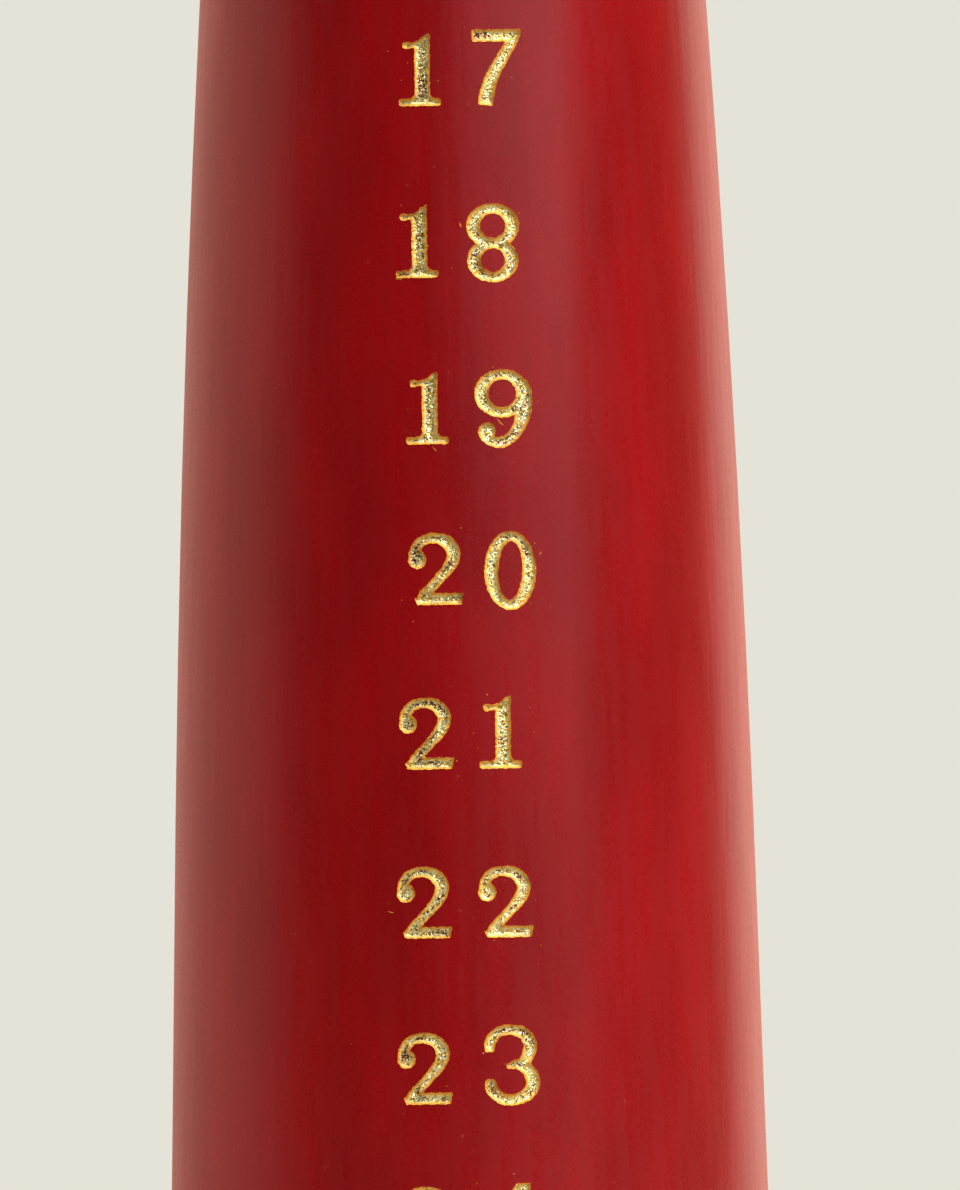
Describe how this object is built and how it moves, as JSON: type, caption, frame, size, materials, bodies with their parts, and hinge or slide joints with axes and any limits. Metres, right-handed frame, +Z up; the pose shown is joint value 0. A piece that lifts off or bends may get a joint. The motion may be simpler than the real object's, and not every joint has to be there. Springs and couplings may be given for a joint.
{
  "type": "calendar candle",
  "caption": "Tapered red wax candle with gold foil day numbers stamped down its front and a cotton wick; it stands on its flat base and is burned down a number a day.",
  "frame": {"origin": "centre of the flat base, on the surface that the candle stands on", "axes": "+Z up along the candle's axis and the wick; the numbers face -Y; +X is to the right of someone who reads them"},
  "size_m": [0.0404, 0.0404, 0.2922],
  "materials": {
    "coat_wax": "satin dyed wax, slightly translucent",
    "core_wax": "matte pale wax",
    "wick_cotton": "braided cotton, wax soaked",
    "gold_foil": "crinkled hot stamped gold foil"
  },
  "bodies": {
    "root": {"wick": "wick_cotton", "wax_core": "core_wax", "red_coat": "coat_wax", "numeral_01": "gold_foil", "numeral_02": "gold_foil", "numeral_03": "gold_foil", "numeral_04": "gold_foil", "numeral_05": "gold_foil", "numeral_06": "gold_foil", "numeral_07": "gold_foil", "numeral_08": "gold_foil", "numeral_09": "gold_foil", "numeral_10": "gold_foil", "numeral_11": "gold_foil", "numeral_12": "gold_foil", "numeral_13": "gold_foil", "numeral_14": "gold_foil", "numeral_15": "gold_foil", "numeral_16": "gold_foil", "numeral_17": "gold_foil", "numeral_18": "gold_foil", "numeral_19": "gold_foil", "numeral_20": "gold_foil", "numeral_21": "gold_foil", "numeral_22": "gold_foil", "numeral_23": "gold_foil", "numeral_24": "gold_foil"}
  },
  "joints": []
}
